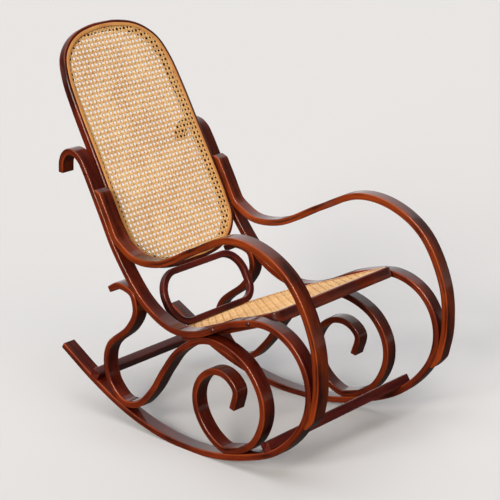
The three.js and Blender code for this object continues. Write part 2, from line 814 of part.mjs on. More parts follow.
// The rail and the armrest of one side together, grown only sideways, as the hoop's edge meets them
function sidewaysCutter() {
  const half = (railThickness + armThickness) / 2;
  const side = memberWidth / 2 + clearance;
  const section = chamferedSection(-half - armThickness, half, -side, side, 0);
  const samples = railPath.samples.filter(({ point }) => point.z > postFoot.point.z / 2);
  return sweep(samples.filter(({ point }) => point.y > 0), lateral, section);
}

// Fasteners that enter the long rail, before the side's name
const railFastenings = [
  'armrest_top_screw_', 'armrest_foot_screw_', 'scroll_screw_', 'seat_bolt_', 'hoop_screw_',
  'stretcher_screw_front_', 'stretcher_screw_rear_',
];
const railSolid = sweep(railPath.samples, lateral, stripSection(railThickness));

// Everything below the floor: it planes the rest step level across the flared frame.
const stepHeight = Math.max(...stepEnds.map(({ point }) => point.z));
const floorHeight = stepHeight - railThickness / 2 + 2 * lift + restPlane;
const floorBelow = new THREE.BoxGeometry(2 * frameSpacing, 2 * frameDepth, frameHeight);
floorBelow.translate(0, 0, floorHeight - frameHeight / 2);
const frameCutter = sidewaysCutter();
const scrollSolid = sweep(scrollPath.samples, lateral, stripSection(scrollThickness));
const armStations = [armTopTaper, armPath.length - armFootTaper];
const armSolid = sweep(withStations(armPath, armStations), lateral, armSection);

for (const { name, group } of sides) {
  const railHoles = cuttersFor(group, railFastenings.map((part) => part + name));
  const floorCut = brought(floorBelow, chair, group);
  addPiece(group, `side_frame_${name}`, cut(railSolid, [floorCut, ...railHoles]), stainedBeech);
  const armHoles = cuttersFor(group, [`armrest_top_screw_${name}`, `armrest_foot_screw_${name}`]);
  const arm = cut(armSolid, [railCutter, ...armHoles]);
  addPiece(group, `armrest_${name}`, arm, stainedBeech);
  const scrollHoles = cuttersFor(group, [`scroll_screw_${name}`]);
  addPiece(group, `scroll_brace_${name}`, cut(scrollSolid, [railCutter, ...scrollHoles]), stainedBeech);
}

const cuttersOf = (cutter, group) => sides.map((side) => brought(cutter, side.group, group));
const hoopHoles = cuttersFor(backGroup, ['hoop_screw', 'ring_top_screw']);
const hoop = cut(hoopSolid, [...cuttersOf(frameCutter, backGroup), ...hoopHoles]);
addPiece(backGroup, 'back_hoop', hoop, stainedBeech);
const ringHoles = cuttersFor(backGroup, ['ring_top_screw', 'ring_foot_screw']);
const seatCut = brought(seatSlab, chair, backGroup);
addPiece(backGroup, 'lumbar_ring', cut(ringSolid, [seatCut, ...ringHoles]), darkBeech);

const ringFootHoles = cuttersFor(seatGroup, ['ring_foot_screw']);
const seatHoles = cuttersFor(seatGroup, ['seat_bolt']);
addPiece(seatGroup, 'seat_ring', cut(seatSolid, [...seatHoles, ...ringFootHoles]), stainedBeech);
addPiece(seatGroup, 'seat_cane_panel', cut(seatCane, ringFootHoles), cane);
addPiece(seatGroup, 'seat_cane_band', cut(seatBand, ringFootHoles), band);

for (const { name, bar } of stretchers) {
  const holes = cuttersFor(chair, [`stretcher_screw_${name}`]);
  addPiece(chair, `stretcher_${name}`, cut(bar, [...cuttersOf(railCutter, chair), ...holes]), darkBeech);
}

for (const { name, group, solid } of fasteners) {
  addPiece(group, name, solid, brass);
}

chair.add(backGroup, seatGroup, ...sides.map(({ group }) => group));

// The origin lies on the floor under the middle of the chair.
chair.updateMatrixWorld(true);
const bounds = new THREE.Box3().setFromObject(chair, true);
const middle = bounds.getCenter(new THREE.Vector3());
chair.position.set(-middle.x, -middle.y, -bounds.min.z);

export default chair;
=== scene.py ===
import math

import bmesh
import bpy
from mathutils import Matrix, Vector


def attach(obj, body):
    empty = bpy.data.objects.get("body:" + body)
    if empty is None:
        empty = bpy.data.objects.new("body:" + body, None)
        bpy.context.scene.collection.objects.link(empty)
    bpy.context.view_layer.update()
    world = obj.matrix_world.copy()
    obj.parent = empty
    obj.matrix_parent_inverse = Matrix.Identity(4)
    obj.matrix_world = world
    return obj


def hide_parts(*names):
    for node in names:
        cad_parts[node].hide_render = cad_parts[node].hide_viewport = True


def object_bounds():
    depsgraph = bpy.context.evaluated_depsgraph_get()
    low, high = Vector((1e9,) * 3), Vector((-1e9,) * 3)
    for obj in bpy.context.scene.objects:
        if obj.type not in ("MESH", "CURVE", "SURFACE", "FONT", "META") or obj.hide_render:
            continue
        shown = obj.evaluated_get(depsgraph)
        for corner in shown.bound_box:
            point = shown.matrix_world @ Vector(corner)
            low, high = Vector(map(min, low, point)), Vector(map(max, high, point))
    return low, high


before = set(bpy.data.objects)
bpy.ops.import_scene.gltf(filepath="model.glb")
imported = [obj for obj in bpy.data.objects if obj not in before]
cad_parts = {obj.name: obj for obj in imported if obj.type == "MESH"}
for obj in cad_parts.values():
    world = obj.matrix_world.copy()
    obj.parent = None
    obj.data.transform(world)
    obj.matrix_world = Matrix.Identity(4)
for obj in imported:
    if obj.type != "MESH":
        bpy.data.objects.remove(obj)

cadLow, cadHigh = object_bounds()

# Lengths are in millimetres. A place drawn in millimetres becomes a place in the scene in metres.
mm = 0.001
# the chair's own zero, measured from the middle of the floor
origin = Vector((0, -54.7402, -0.8983))
toMetres = Matrix.Scale(mm, 4) @ Matrix.Translation(origin)
weld = 0.02  # points closer than this are one point


# colours and shader nodes

def colour(hexCode):
    # sRGB hex to linear light
    parts = [int(hexCode[i:i + 2], 16) / 255 for i in (0, 2, 4)]
    return [p / 12.92 if p <= 0.04045 else ((p + 0.055) / 1.055) ** 2.4 for p in parts] + [1]


def addNode(tree, kind, settings=None, links=None):
    # settings that name a socket set its value, the others set the node itself
    node = tree.nodes.new(kind)
    for key, value in (settings or {}).items():
        if isinstance(key, int) or key in node.inputs:
            node.inputs[key].default_value = value
        else:
            setattr(node, key, value)
    for key, source in (links or {}).items():
        tree.links.new(source, node.inputs[key])
    return node


def newMaterial(name):
    material = bpy.data.materials.new(name)
    material.use_nodes = True
    material.node_tree.nodes.clear()
    return material, material.node_tree


# the wood: beech strips, steam bent, stained and lacquered

stainedBeechLook = {
    # the edge colour is rubbed-through stain and also a painted highlight along the rounded edges
    "darkStain": "1e0402", "midStain": "420a05", "lightStain": "742507", "wornEdge": "a9501c",
    "sideStain": "983c0e", "sideShare": 0.25,  # the stain is thinner on the narrow sides,
    "sideFrom": 16.5, "sideFull": 18.5,  # the narrow sides are coloured lighter and more orange, which lie this far from the strip's middle line
    "grainAcross": 7, "grainAlong": 160,  # mm from streak to streak
    "poreAcross": 1.1, "poreAlong": 14, "pores": "1d0805", "poreDepth": 0.6,
    "cloudsPerMetre": [9, 30, 30],  # along the strip and across it, the unevenness of the stain
    "rubbed": 0.45,  # how far the stain is rubbed away along the edges, and how strong the painted highlight along them is
    "roughness": 0.42, "lacquer": 0.65, "lacquerRoughness": 0.11, "lacquerIor": 1.42,
}
armBeechLook = dict(
    stainedBeechLook, midStain="4c1305", lightStain="85350b", sideShare=0.55, rubbed=0.6,
)
darkBeechLook = dict(
    stainedBeechLook, darkStain="260808", midStain="4a1210", lightStain="652016",
    # here too the edge colour is rubbed stain and a painted highlight along the edges
    wornEdge="7d3a22", lacquerRoughness=0.15, sideShare=0.0,
)


def makeLacqueredBeech(name, look):
    # Beech under a red-brown stain and a gloss lacquer: streaks run along the strip, pores are
    # short and fine, and the lacquer gives a clear, slightly uneven shine.
    material, tree = newMaterial(name)
    strip = addNode(tree, "ShaderNodeAttribute", {"attribute_name": "strip"})
    scales = {
        "grain": [1 / (look["grainAlong"] * mm)] + [1 / (look["grainAcross"] * mm)] * 2,
        "pores": [1 / (look["poreAlong"] * mm)] + [1 / (look["poreAcross"] * mm)] * 2,
        "clouds": look["cloudsPerMetre"],
    }
    fields = {}
    for field, scale in scales.items():
        stretched = addNode(
            tree, "ShaderNodeMapping", {"Scale": scale}, {"Vector": strip.outputs["Vector"]},
        )
        fields[field] = addNode(
            tree, "ShaderNodeTexNoise", {"Scale": 1.0, "Detail": 4.0, "Roughness": 0.6},
            {"Vector": stretched.outputs[0]},
        ).outputs[0]
    streaks = addNode(
        tree, "ShaderNodeMapRange", {"From Min": 0.34, "From Max": 0.66},
        {"Value": fields["grain"]},
    )
    base = addNode(
        tree, "ShaderNodeMix",
        {"data_type": "RGBA", 6: colour(look["darkStain"]), 7: colour(look["midStain"])},
        {0: streaks.outputs[0]},
    )
    patches = addNode(
        tree, "ShaderNodeMapRange", {"From Min": 0.4, "From Max": 0.8, "To Max": 0.75},
        {"Value": fields["clouds"]},
    )
    warmed = addNode(
        tree, "ShaderNodeMix", {"data_type": "RGBA", 7: colour(look["lightStain"])},
        {0: patches.outputs[0], 6: base.outputs[2]},
    )
    stripAxes = addNode(tree, "ShaderNodeSeparateXYZ", {}, {0: strip.outputs["Vector"]})
    fromMiddle = addNode(
        tree, "ShaderNodeMath", {"operation": "ABSOLUTE"}, {0: stripAxes.outputs["Z"]},
    )
    sideShare = addNode(
        tree, "ShaderNodeMapRange",
        {"From Min": look["sideFrom"] * mm, "From Max": look["sideFull"] * mm,
         "To Max": look["sideShare"]},
        {"Value": fromMiddle.outputs[0]},
    )
    patchyShare = addNode(
        tree, "ShaderNodeMath", {"operation": "MULTIPLY"},
        {0: sideShare.outputs[0], 1: streaks.outputs[0]},
    )
    # the narrow sides are mixed towards a lighter, more orange colour
    sided = addNode(
        tree, "ShaderNodeMix", {"data_type": "RGBA", 7: colour(look["sideStain"])},
        {0: patchyShare.outputs[0], 6: warmed.outputs[2]},
    )
    poreDepth = addNode(
        tree, "ShaderNodeMapRange", {"From Min": 0.58, "From Max": 0.7, "To Max": 0.55},
        {"Value": fields["pores"]},
    )
    darkened = addNode(
        tree, "ShaderNodeMix", {"data_type": "RGBA", 7: colour(look["pores"])},
        {0: poreDepth.outputs[0], 6: sided.outputs[2]},
    )
    # the stain is rubbed thin along the rounded edges, in patches, and the same lighter colour is a
    # painted highlight along those edges
    edge = addNode(tree, "ShaderNodeAttribute", {"attribute_name": "edge"})
    edgeWearAndHighlightPatches = addNode(
        tree, "ShaderNodeMapRange",
        {"From Min": 0.42, "From Max": 0.72, "To Min": 0.04, "To Max": look["rubbed"]},
        {"Value": fields["clouds"]},
    )
    edgeWearAndHighlightMask = addNode(
        tree, "ShaderNodeMath", {"operation": "MULTIPLY"},
        {0: edge.outputs["Fac"], 1: edgeWearAndHighlightPatches.outputs[0]},
    )
    edgeWearAndHighlightBase = addNode(
        tree, "ShaderNodeMix", {"data_type": "RGBA", 7: colour(look["wornEdge"])},
        {0: edgeWearAndHighlightMask.outputs[0], 6: darkened.outputs[2]},
    )
    gloss = addNode(
        tree, "ShaderNodeMapRange",
        {"From Min": 0.3, "From Max": 0.7, "To Min": look["roughness"] - 0.05,
         "To Max": look["roughness"] + 0.09},
        {"Value": fields["clouds"]},
    )
    relief = addNode(
        tree, "ShaderNodeBump",
        {"Strength": 0.12, "Distance": look["poreDepth"] * mm, "invert": True},
        {"Height": poreDepth.outputs[0]},
    )
    shader = addNode(
        tree, "ShaderNodeBsdfPrincipled",
        {"IOR": 1.5, "Specular IOR Level": 0.12, "Coat Weight": look["lacquer"],
         "Coat Roughness": look["lacquerRoughness"], "Coat IOR": look["lacquerIor"]},
        {"Base Color": edgeWearAndHighlightBase.outputs[2], "Roughness": gloss.outputs[0], "Normal": relief.outputs[0]},
    )
    addNode(tree, "ShaderNodeOutputMaterial", {}, {"Surface": shader.outputs[0]})
    return material


# the cane and the band over its edge

caneLook = {
    "pale": "ecc588", "deep": "c89354", "fibreAcross": 0.45, "fibreAlong": 30, "roughness": 0.42,
    "fibreRelief": 0.3, "tonesPerMetre": 14.0,
}
bandLook = dict(
    caneLook, pale="e0a55c", deep="ab6c2e", fibreAcross=1.1, fibreAlong=60, roughness=0.4,
)


def makeSplitRattan(name, look):
    # Peeled rattan: long parallel fibres in a smooth, slightly waxy skin.
    material, tree = newMaterial(name)
    strip = addNode(tree, "ShaderNodeAttribute", {"attribute_name": "strip"})
    fibreScale = [1 / (look["fibreAlong"] * mm)] + [1 / (look["fibreAcross"] * mm)] * 2
    fibreSpace = addNode(
        tree, "ShaderNodeMapping", {"Scale": fibreScale}, {"Vector": strip.outputs["Vector"]},
    )
    fibres = addNode(
        tree, "ShaderNodeTexNoise", {"Scale": 1.0, "Detail": 3.0},
        {"Vector": fibreSpace.outputs[0]},
    )
    place = addNode(tree, "ShaderNodeTexCoord")
    batches = addNode(
        tree, "ShaderNodeTexNoise", {"Scale": look["tonesPerMetre"], "Detail": 2.0},
        {"Vector": place.outputs["Object"]},
    )
    mixed = addNode(
        tree, "ShaderNodeMath", {"operation": "ADD"}, {0: fibres.outputs[0], 1: batches.outputs[0]},
    )
    share = addNode(
        tree, "ShaderNodeMapRange", {"From Min": 0.6, "From Max": 1.4}, {"Value": mixed.outputs[0]},
    )
    base = addNode(
        tree, "ShaderNodeMix",
        {"data_type": "RGBA", 6: colour(look["deep"]), 7: colour(look["pale"])},
        {0: share.outputs[0]},
    )
    gloss = addNode(
        tree, "ShaderNodeMapRange",
        {"To Min": look["roughness"] + 0.1, "To Max": look["roughness"] - 0.1},
        {"Value": fibres.outputs[0]},
    )
    relief = addNode(
        tree, "ShaderNodeBump", {"Strength": 0.25, "Distance": look["fibreRelief"] * mm},
        {"Height": fibres.outputs[0]},
    )
    shader = addNode(
        tree, "ShaderNodeBsdfPrincipled", {"IOR": 1.48, "Sheen Weight": 0.15},
        {"Base Color": base.outputs[2], "Roughness": gloss.outputs[0], "Normal": relief.outputs[0]},
    )
    addNode(tree, "ShaderNodeOutputMaterial", {}, {"Surface": shader.outputs[0]})
    return material


# the brass of the screws and bolts

brassLook = {"bright": "6a3418", "tarnished": "48200f", "roughness": 0.38, "spotsPerMetre": 420.0}


def makeTarnishedBrass(name, look):
    # Turned brass that has browned a little: bright where it is rubbed, dull in the hollows.
    material, tree = newMaterial(name)
    place = addNode(tree, "ShaderNodeTexCoord")
    tarnish = addNode(
        tree, "ShaderNodeTexNoise", {"Scale": look["spotsPerMetre"], "Detail": 3.0},
        {"Vector": place.outputs["Object"]},
    )
    share = addNode(
        tree, "ShaderNodeMapRange", {"From Min": 0.35, "From Max": 0.7},
        {"Value": tarnish.outputs[0]},
    )
    base = addNode(
        tree, "ShaderNodeMix",
        {"data_type": "RGBA", 6: colour(look["bright"]), 7: colour(look["tarnished"])},
        {0: share.outputs[0]},
    )
    gloss = addNode(
        tree, "ShaderNodeMapRange",
        {"To Min": look["roughness"] - 0.06, "To Max": look["roughness"] + 0.14},
        {"Value": share.outputs[0]},
    )
    shader = addNode(
        tree, "ShaderNodeBsdfPrincipled", {"Metallic": 1.0},
        {"Base Color": base.outputs[2], "Roughness": gloss.outputs[0]},
    )
    addNode(tree, "ShaderNodeOutputMaterial", {}, {"Surface": shader.outputs[0]})
    return material


boltLook = {"brown": "4a1808", "dark": "2b0d05", "roughness": 0.3, "spotsPerMetre": 260.0}


def makeStainedBrass(name, look):
    # Brass bolt heads under the wood's own brown stain and lacquer: no bare metal shows.
    material, tree = newMaterial(name)
    place = addNode(tree, "ShaderNodeTexCoord")
    cover = addNode(
        tree, "ShaderNodeTexNoise", {"Scale": look["spotsPerMetre"], "Detail": 3.0},
        {"Vector": place.outputs["Object"]},
    )
    share = addNode(
        tree, "ShaderNodeMapRange", {"From Min": 0.4, "From Max": 0.68},
        {"Value": cover.outputs[0]},
    )
    base = addNode(
        tree, "ShaderNodeMix",
        {"data_type": "RGBA", 6: colour(look["brown"]), 7: colour(look["dark"])},
        {0: share.outputs[0]},
    )
    gloss = addNode(
        tree, "ShaderNodeMapRange",
        {"To Min": look["roughness"] - 0.05, "To Max": look["roughness"] + 0.1},
        {"Value": share.outputs[0]},
    )
    shader = addNode(
        tree, "ShaderNodeBsdfPrincipled", {"IOR": 1.5},
        {"Base Color": base.outputs[2], "Roughness": gloss.outputs[0]},
    )
    addNode(tree, "ShaderNodeOutputMaterial", {}, {"Surface": shader.outputs[0]})
    return material


lacqueredBeech = makeLacqueredBeech("Lacquered stained beech", stainedBeechLook)
armLacqueredBeech = makeLacqueredBeech("Lacquered beech of the armrests", armBeechLook)
darkLacqueredBeech = makeLacqueredBeech("Lacquered dark beech", darkBeechLook)
splitRattan = makeSplitRattan("Peeled rattan cane", caneLook)
rattanBand = makeSplitRattan("Rattan band", bandLook)
tarnishedBrass = makeTarnishedBrass("Tarnished brass", brassLook)
stainedBrass = makeStainedBrass("Stained and lacquered brass", boltLook)
print("materials made")


# curves, and strips swept along them

def spanEnds(p0, p1, p2, p3):
    # how a smooth curve leaves p1 and arrives at p2
    a, b, c = (max((q - p).length, 0.01) ** 0.5 for p, q in ((p0, p1), (p1, p2), (p2, p3)))
    leaving = ((p1 - p0) / a - (p2 - p0) / (a + b) + (p2 - p1) / b) * b
    arriving = ((p2 - p1) / b - (p3 - p1) / (b + c) + (p3 - p2) / c) * b
    return leaving, arriving


def smoothLine(points, step, closed=False):
    # a smooth curve through the points, with places about a step apart
    count = len(points)
    line = []
    for i in range(count if closed else count - 1):
        p1, p2 = points[i], points[(i + 1) % count]
        p0 = points[i - 1] if closed or i > 0 else p1 * 2 - p2
        p3 = points[(i + 2) % count] if closed or i < count - 2 else p2 * 2 - p1
        leaving, arriving = spanEnds(p0, p1, p2, p3)
        steps = max(2, round((p2 - p1).length / step))
        for j in range(steps):
            t = j / steps
            line.append(
                p1 * (2 * t ** 3 - 3 * t * t + 1) + p2 * (3 * t * t - 2 * t ** 3)
                + leaving * (t ** 3 - 2 * t * t + t) + arriving * (t ** 3 - t * t)
            )
    return line if closed else line + [points[-1].copy()]


def roundedLine(corners, radii, step, across):
    # straight edges with round corners, as a closed line
    line = []
    for i, corner in enumerate(corners):
        arriving = (corner - corners[i - 1]).normalized()
        leaving = (corners[(i + 1) % len(corners)] - corner).normalized()
        turn = arriving.angle(leaving)
        start = corner - arriving * radii[i] * math.tan(turn / 2)
        centre = start + across.cross(arriving) * radii[i]
        steps = max(4, round(radii[i] * turn / step))
        for j in range(steps + 1):
            line.append(centre + Matrix.Rotation(turn * j / steps, 3, across) @ (start - centre))
    filled = []
    for i, place in enumerate(line):
        ahead = line[(i + 1) % len(line)]
        parts = max(1, round((ahead - place).length / (3 * step)))
        filled += [place.lerp(ahead, j / parts) for j in range(parts)]
    return filled


def stationsOf(line, closed=False):
    # each place with its direction and the length run so far
    stations = []
    run = 0
    for i, place in enumerate(line):
        before = line[i - 1] if closed or i > 0 else place
        after = line[(i + 1) % len(line)] if closed or i < len(line) - 1 else place
        if i > 0:
            run += (place - line[i - 1]).length
        stations.append((place, (after - before).normalized(), run))
    if closed:
        place, direction, _ = stations[0]
        stations.append((place, direction, run + (place - line[-1]).length))
    return stations


def sectionCorners(lowAcross, highAcross, lowAlong, highAlong, roundness):
    # a rectangle, each corner with its rounding
    return [
        (lowAcross, lowAlong, roundness), (highAcross, lowAlong, roundness),
        (highAcross, highAlong, roundness), (lowAcross, highAlong, roundness),
    ]


def sweepStrip(stations, lateral, corners, matrix, closed=False, thin=None, capEdge=0.8):
    # Draws the section once, rounds its corners and extrudes it from station to station.
    # The strip layer keeps length, across and lateral for the grain, and the edge layer the edge
    # wear and painted edge highlight.
    bm = bmesh.new()
    strip = bm.verts.layers.float_vector.new("strip")
    edge = bm.verts.layers.float.new("edge")
    drawn = [bm.verts.new((x, y, 0)) for x, y, _ in corners]
    bm.faces.new(drawn)
    for roundness in sorted({r for _, _, r in corners if r > 0}):
        rounded = [v for v, corner in zip(drawn, corners) if corner[2] == roundness]
        bmesh.ops.bevel(
            bm, geom=rounded, offset=roundness, affect="VERTICES",
            segments=3 if roundness > 1 else 2, profile=0.5, material=-1,
        )
    bm.faces.ensure_lookup_table()
    section = bm.faces[0]
    ring, edges = list(section.verts), list(section.edges)
    for v in ring:
        v[strip] = (0, v.co.x * mm, v.co.y * mm)
        v[edge] = any(math.dist(v.co[:2], c[:2]) < 0.7 * c[2] for c in corners)
    bmesh.ops.delete(bm, geom=[section], context="FACES_ONLY")
    startEdges = edges

    def placeRing(verts, station):
        place, direction, run = station
        out = direction.cross(lateral).normalized()
        for v in verts:
            _, across, along = v[strip] / mm
            shift = thin(run) if thin and across > 0 else 0
            v.co = matrix @ (place + out * (across - shift) + lateral * along)
            v[strip] = (run * mm, across * mm, along * mm)

    placeRing(ring, stations[0])
    for station in stations[1:]:
        made = bmesh.ops.extrude_edge_only(bm, edges=edges)["geom"]
        edges = [g for g in made if isinstance(g, bmesh.types.BMEdge) and g.is_boundary]
        placeRing([g for g in made if isinstance(g, bmesh.types.BMVert)], station)
    if closed:
        bmesh.ops.remove_doubles(bm, verts=bm.verts, dist=weld * mm)
    else:
        for loop in (startEdges, edges):
            cap = bmesh.ops.edgeloop_fill(bm, edges=loop)["faces"]
            rim = list({e for face in cap for e in face.edges})
            bmesh.ops.bevel(
                bm, geom=rim, offset=capEdge * mm, affect="EDGES",
                segments=2, profile=0.5, material=-1,
            )
    return bm


def keepInside(bm):
    # nothing stands outside the model's own box, and the rockers rest flat on the floor
    for v in bm.verts:
        v.co = [min(max(c, low), high) for c, low, high in zip(v.co, cadLow, cadHigh)]


def finishPiece(name, bm, material, nodes, weighted=True):
    keepInside(bm)
    bmesh.ops.recalc_face_normals(bm, faces=bm.faces)
    for face in bm.faces:
        face.smooth = True
    mesh = bpy.data.meshes.new(name)
    bm.to_mesh(mesh)
    bm.free()
    mesh.materials.append(material)
    piece = bpy.data.objects.new(name, mesh)
    bpy.context.scene.collection.objects.link(piece)
    if weighted:
        piece.modifiers.new("Weighted normal", "WEIGHTED_NORMAL").weight = 80
    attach(piece, "root")
    if nodes:
        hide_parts(*nodes)
    return piece


def nearestOn(line, place):
    return min(line, key=lambda p: (p - place).length_squared)


def laidOff(line, place, spacing):
    # pushes a place away from a line to the given spacing
    foot = nearestOn(line, place)
    return foot + (place - foot).normalized() * spacing


# the two long bent strips: rocker, leg bow, seat rail, back post and top hook

sideFrame = {
    "depth": 860, "height": 690, "spacing": 448, "toe": 3.31, "flare": 1.11,
    "width": 38, "thickness": 16.5, "rounding": 3.2, "step": 5, "fineStep": 1.2,
    "centreLine": [
        (0.5279, 0.2290), (0.3965, 0.1348), (0.2581, 0.0594), (0.1105, 0.0170), (-0.0407, 0.0123),
        (-0.1884, 0.0493), (-0.3267, 0.1246), (-0.4163, 0.2507), (-0.4372, 0.3594),
        (-0.4163, 0.4551), (-0.3663, 0.5217), (-0.2860, 0.5551), (-0.1674, 0.5246),
        (-0.0291, 0.4464), (0.0663, 0.4333), (0.1744, 0.4942), (0.2814, 0.6507), (0.3419, 0.7906),
        (0.4023, 0.9304), (0.4174, 0.9580), (0.4395, 0.9768), (0.4651, 0.9797), (0.4849, 0.9652),
        (0.4965, 0.9391), (0.5000, 0.8971),
    ],
}
sideways = Vector((1, 0, 0))
lift = sideFrame["width"] / 2 * math.sin(math.radians(sideFrame["flare"]))


def framePlace(share):
    return Vector((0, share[0] * sideFrame["depth"], share[1] * sideFrame["height"]))


def sideMatrix(side):
    turn = Matrix.Rotation(side * math.radians(sideFrame["toe"]), 4, "Z")
    lean = Matrix.Rotation(side * math.radians(sideFrame["flare"]), 4, "Y")
    return Matrix.Translation((side * sideFrame["spacing"] / 2, 0, lift)) @ turn @ lean


sides = {"right": sideMatrix(-1), "left": sideMatrix(1)}
railLine = smoothLine([framePlace(s) for s in sideFrame["centreLine"]], sideFrame["step"])
halfWidth = sideFrame["width"] / 2
halfRail = sideFrame["thickness"] / 2
railSection = sectionCorners(-halfRail, halfRail, -halfWidth, halfWidth, sideFrame["rounding"])
for name, matrix in sides.items():
    bm = sweepStrip(stationsOf(railLine), sideways, railSection, toMetres @ matrix)
    finishPiece(f"sideFrame.{name}", bm, lacqueredBeech, [f"side_frame_{name}"])
print("side frames made")


# the armrests, lapped on the post above and on the leg bow below

armrest = {
    "thickness": 17, "rounding": 2.4, "gap": 0.3, "topTaper": 14, "footTaper": 34, "tip": 5,
    "step": 4,
    "topLap": [(0.3488, 0.8710), (0.2820, 0.7130)],
    "centreLine": [
        (0.2600, 0.6810), (0.2070, 0.6493), (0.1116, 0.6580), (-0.0244, 0.7406), (-0.1628, 0.8145),
        (-0.2767, 0.7986), (-0.3791, 0.7174), (-0.4500, 0.5507), (-0.4640, 0.4000),
    ],
    "footLap": [(-0.4570, 0.3110), (-0.4405, 0.2310)],
}
armSpacing = halfRail + armrest["thickness"] / 2 + armrest["gap"]
fineRail = smoothLine([framePlace(s) for s in sideFrame["centreLine"]], sideFrame["fineStep"])


def clearOfRail(line, spacing):
    # where a strip would dip into the long one it is laid against it
    clear = []
    for place in line:
        dips = (nearestOn(fineRail, place) - place).length < spacing
        clear.append(laidOff(fineRail, place, spacing) if dips else place)
    return clear


armPlaces = (
    [laidOff(fineRail, framePlace(s), armSpacing) for s in armrest["topLap"]]
    + [framePlace(s) for s in armrest["centreLine"]]
    + [laidOff(fineRail, framePlace(s), armSpacing) for s in armrest["footLap"]]
)
armStations = stationsOf(clearOfRail(smoothLine(armPlaces, armrest["step"]), armSpacing))
armLength = armStations[-1][2]


def armThinning(run):
    # how much thinner the armrest is near its two ends
    full = armrest["thickness"] - armrest["tip"]
    fromTop = min(1, run / armrest["topTaper"])
    fromFoot = min(1, (armLength - run) / armrest["footTaper"])
    return full * (1 - min(fromTop, fromFoot))


halfArm = armrest["thickness"] / 2
armSection = sectionCorners(-halfArm, halfArm, -halfWidth, halfWidth, armrest["rounding"])
for name, matrix in sides.items():
    bm = sweepStrip(
        armStations, sideways, armSection, toMetres @ matrix, thin=armThinning, capEdge=0.5,
    )
    finishPiece(f"armrest.{name}", bm, armLacqueredBeech, [f"armrest_{name}"])
print("armrests made")


# the scroll braces: a spiral in front, a high arch under the seat and a free curl behind

scroll = {
    "thickness": 16.5, "rounding": 3.2, "step": 4,
    "centreLine": [
        (-0.1616, 0.2174), (-0.1744, 0.2841), (-0.1570, 0.3145), (-0.1256, 0.3333),
        (-0.0860, 0.3290), (-0.0442, 0.2913), (-0.0209, 0.2304), (-0.0267, 0.1609),
        (-0.0674, 0.0913), (-0.1260, 0.0600, True), (-0.1791, 0.0696), (-0.2372, 0.1203),
        (-0.2721, 0.2145), (-0.2651, 0.3014), (-0.2174, 0.3841), (-0.1314, 0.4319),
        (-0.0500, 0.4300, True), (0.0430, 0.3594), (0.1023, 0.2681), (0.1535, 0.1739),
        (0.2140, 0.1029), (0.2700, 0.0900, True), (0.2977, 0.1087), (0.3302, 0.1565),
        (0.3407, 0.2319), (0.3233, 0.2957), (0.2442, 0.3797), (0.2128, 0.4420), (0.2116, 0.4812),
        (0.2256, 0.5130, True), (0.2535, 0.5319), (0.2826, 0.5319), (0.3140, 0.5101),
    ],  # True where it is laid against the long strip
}
halfScroll = scroll["thickness"] / 2
scrollSpacing = halfRail + halfScroll + armrest["gap"]
scrollPlaces = [
    laidOff(fineRail, framePlace(s), scrollSpacing) if len(s) > 2 else framePlace(s)
    for s in scroll["centreLine"]
]
scrollLine = clearOfRail(smoothLine(scrollPlaces, scroll["step"]), scrollSpacing)
scrollStations = stationsOf(scrollLine)
scrollSection = sectionCorners(-halfScroll, halfScroll, -halfWidth, halfWidth, scroll["rounding"])
for name, matrix in sides.items():
    bm = sweepStrip(scrollStations, sideways, scrollSection, toMetres @ matrix)
    nodes = [f"scroll_brace_{name}"]
    finishPiece(f"scrollBrace.{name}", bm, lacqueredBeech, nodes)
print("scroll braces made")


# the back hoop, with its rebate for the cane

caneEdge = {
    "rim": 8, "rebate": 3.6, "rimRounding": 0.8, "gap": 0.3,
    "bandWidth": 9, "bandThickness": 1.4, "bandRounding": 0.5,
}
hoop = {
    "width": 396.997, "height": 646, "railWidth": 25, "railDepth": 22, "rounding": 4, "step": 5,
    "lean": 0.493968, "foot": (0, 192.8537, 386.9978),  # the lean in radians
    "rightHalf": [
        (0, 0), (0.2205, 0), (0.5487, 0.0156), (0.7692, 0.0498), (0.8974, 0.0888), (0.9641, 0.1262),
        (0.9897, 0.1931), (1, 0.2710), (0.9900, 0.5031), (0.9800, 0.6900), (0.9487, 0.8069),
        (0.8615, 0.8910), (0.7026, 0.9439), (0.5026, 0.9770), (0.2400, 0.9950), (0, 1),
    ],
}
backMatrix = Matrix.Translation(hoop["foot"]) @ Matrix.Rotation(-hoop["lean"], 4, "X")
rearward = Vector((0, 1, 0))


def canedCorners(railWidth, depth, rounding):
    # from the outer front corner inwards: rim, rebate for the cane, and the plain back
    rim, rebate, soft = caneEdge["rim"], caneEdge["rebate"], caneEdge["rimRounding"]
    return [
        (0, 0, rounding), (rim, 0, soft), (rim, rebate, 0), (railWidth, rebate, soft),
        (railWidth, depth, rounding), (0, depth, rounding),
    ]


def bandCorners():
    inner = caneEdge["rim"] + caneEdge["gap"]
    return sectionCorners(
        inner, inner + caneEdge["bandWidth"], 0, caneEdge["bandThickness"],
        caneEdge["bandRounding"],
    )


